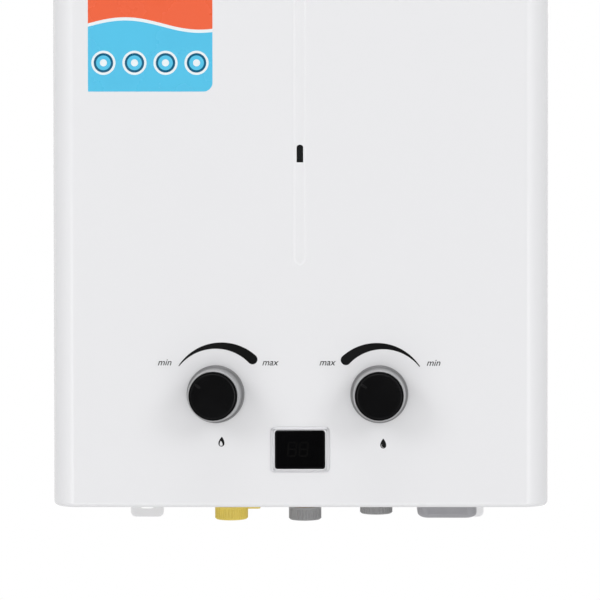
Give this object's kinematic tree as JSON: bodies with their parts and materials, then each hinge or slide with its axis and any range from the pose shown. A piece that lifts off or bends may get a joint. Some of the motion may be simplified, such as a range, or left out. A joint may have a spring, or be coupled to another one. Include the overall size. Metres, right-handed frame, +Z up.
{
  "type": "tankless gas water heater",
  "caption": "Wall-hung instant gas water heater in a white sheet-metal casing, with control knobs, a small display, pipe connections below and a round flue collar on top.",
  "frame": {"origin": "in the wall plane, amid the four wall slots", "axes": "+Z up, +Y into the wall, front towards -Y, +X to the right seen from the front"},
  "size_m": [0.34, 0.1636, 0.6546],
  "materials": {
    "enamel_white": "gloss white baked enamel",
    "chassis_paint": "thin pale grey paint",
    "galvanised": "galvanised sheet",
    "knob_silver": "satin silver paint on plastic",
    "knob_black": "polished black plastic",
    "brass": "turned brass",
    "bezel_chrome": "bright plated plastic",
    "window_black": "smoked window",
    "circuit_board": "lacquered board",
    "cap_yellow": "moulded soft plastic",
    "cap_grey": "moulded soft plastic",
    "box_grey": "moulded plastic",
    "steel": "zinc-plated steel",
    "cell_wrap": "printed sleeve, plain",
    "cast_alloy": "pressure die casting",
    "rubber_black": "moulded rubber",
    "black_plastic": "moulded plastic",
    "button_red": "moulded plastic",
    "stainless": "pressed stainless sheet",
    "ceramic": "glazed ceramic",
    "copper": "copper, lightly tarnished",
    "controller_plastic": "moulded plastic",
    "sight_glass": "heat-proof glass"
  },
  "bodies": {
    "casing": {"front_cover": "enamel_white", "sight_glass": "sight_glass", "back_plate": "chassis_paint", "bottom_plate": "chassis_paint", "case_screws": "steel", "display_bezel": "bezel_chrome", "display_window": "window_black", "display_board": "circuit_board", "gas_nipple": "brass", "hot_nipple": "brass", "cold_nipple": "brass", "lock_nuts": "brass", "battery_box": "box_grey", "hinge_pin": "steel", "batteries": "cell_wrap", "battery_contacts": "steel", "gas_valve_body": "cast_alloy", "gas_valve_spring": "steel", "solenoid": "black_plastic", "gas_pipe": "steel", "water_valve_body": "cast_alloy", "water_valve_cover": "cast_alloy", "diaphragm": "rubber_black", "housing_screws": "steel", "microswitch": "black_plastic", "gas_manifold": "steel", "gas_nozzles": "brass", "burner_strips": "stainless", "burner_frame": "stainless", "spark_electrode": "ceramic", "flame_sensor": "ceramic", "combustion_jacket": "copper", "fin_pack": "copper", "exchanger_tubes": "copper", "cold_pipe": "copper", "hot_pipe": "copper", "overheat_thermostat": "black_plastic", "outlet_sensor": "brass", "draught_hood": "galvanised", "flue_collar": "galvanised", "draught_sensor": "black_plastic", "ignition_controller": "controller_plastic"},
    "gas_knob": {"gas_knob_skirt": "knob_silver", "gas_knob_disc": "knob_black", "gas_spindle": "brass"},
    "water_knob": {"water_knob_skirt": "knob_silver", "water_knob_disc": "knob_black", "water_spindle": "brass"},
    "lid": {"battery_lid": "box_grey", "lid_contact": "steel"},
    "gas_transit_cap": {"gas_cap": "cap_yellow"},
    "hot_transit_cap": {"hot_cap": "cap_grey"},
    "cold_transit_cap": {"cold_cap": "cap_grey"},
    "rod": {"push_rod": "steel", "gas_valve_disc": "rubber_black"},
    "button": {"switch_button": "button_red"}
  },
  "joints": [
    {"name": "gas_knob_turn", "type": "hinge", "parent": "casing", "child": "gas_knob", "pos_m": [-0.0574, -0.138, -0.1885], "axis": [0, 1, 0], "range_deg": [0, 113]},
    {"name": "water_knob_turn", "type": "hinge", "parent": "casing", "child": "water_knob", "pos_m": [0.054, -0.138, -0.1885], "axis": [0, 1, 0], "range_deg": [0, 113]},
    {"name": "battery_lid_swing", "type": "hinge", "parent": "casing", "child": "lid", "pos_m": [0.1014, -0.0296, -0.2701], "axis": [1, 0, 0], "range_deg": [0, 95]},
    {"name": "gas_cap_pull", "type": "slide", "parent": "casing", "child": "gas_transit_cap", "axis": [0, 0, -1], "range_m": [0, 0.04]},
    {"name": "hot_cap_pull", "type": "slide", "parent": "casing", "child": "hot_transit_cap", "axis": [0, 0, -1], "range_m": [0, 0.04]},
    {"name": "cold_cap_pull", "type": "slide", "parent": "casing", "child": "cold_transit_cap", "axis": [0, 0, -1], "range_m": [0, 0.04]},
    {"name": "rod_push", "type": "slide", "parent": "casing", "child": "rod", "axis": [-1, 0, 0], "range_m": [0, 0.004], "stiffness_N_per_m": 1000, "springref_m": -0.004, "deforming": ["gas_valve_spring", "diaphragm"]},
    {"name": "switch_button_press", "type": "slide", "parent": "casing", "child": "button", "axis": [-1, 0, 0], "range_m": [0, 0.0016]}
  ],
  "couplings": [
    {"joint": "switch_button_press", "follows": "rod_push", "ratio": 0.4}
  ]
}
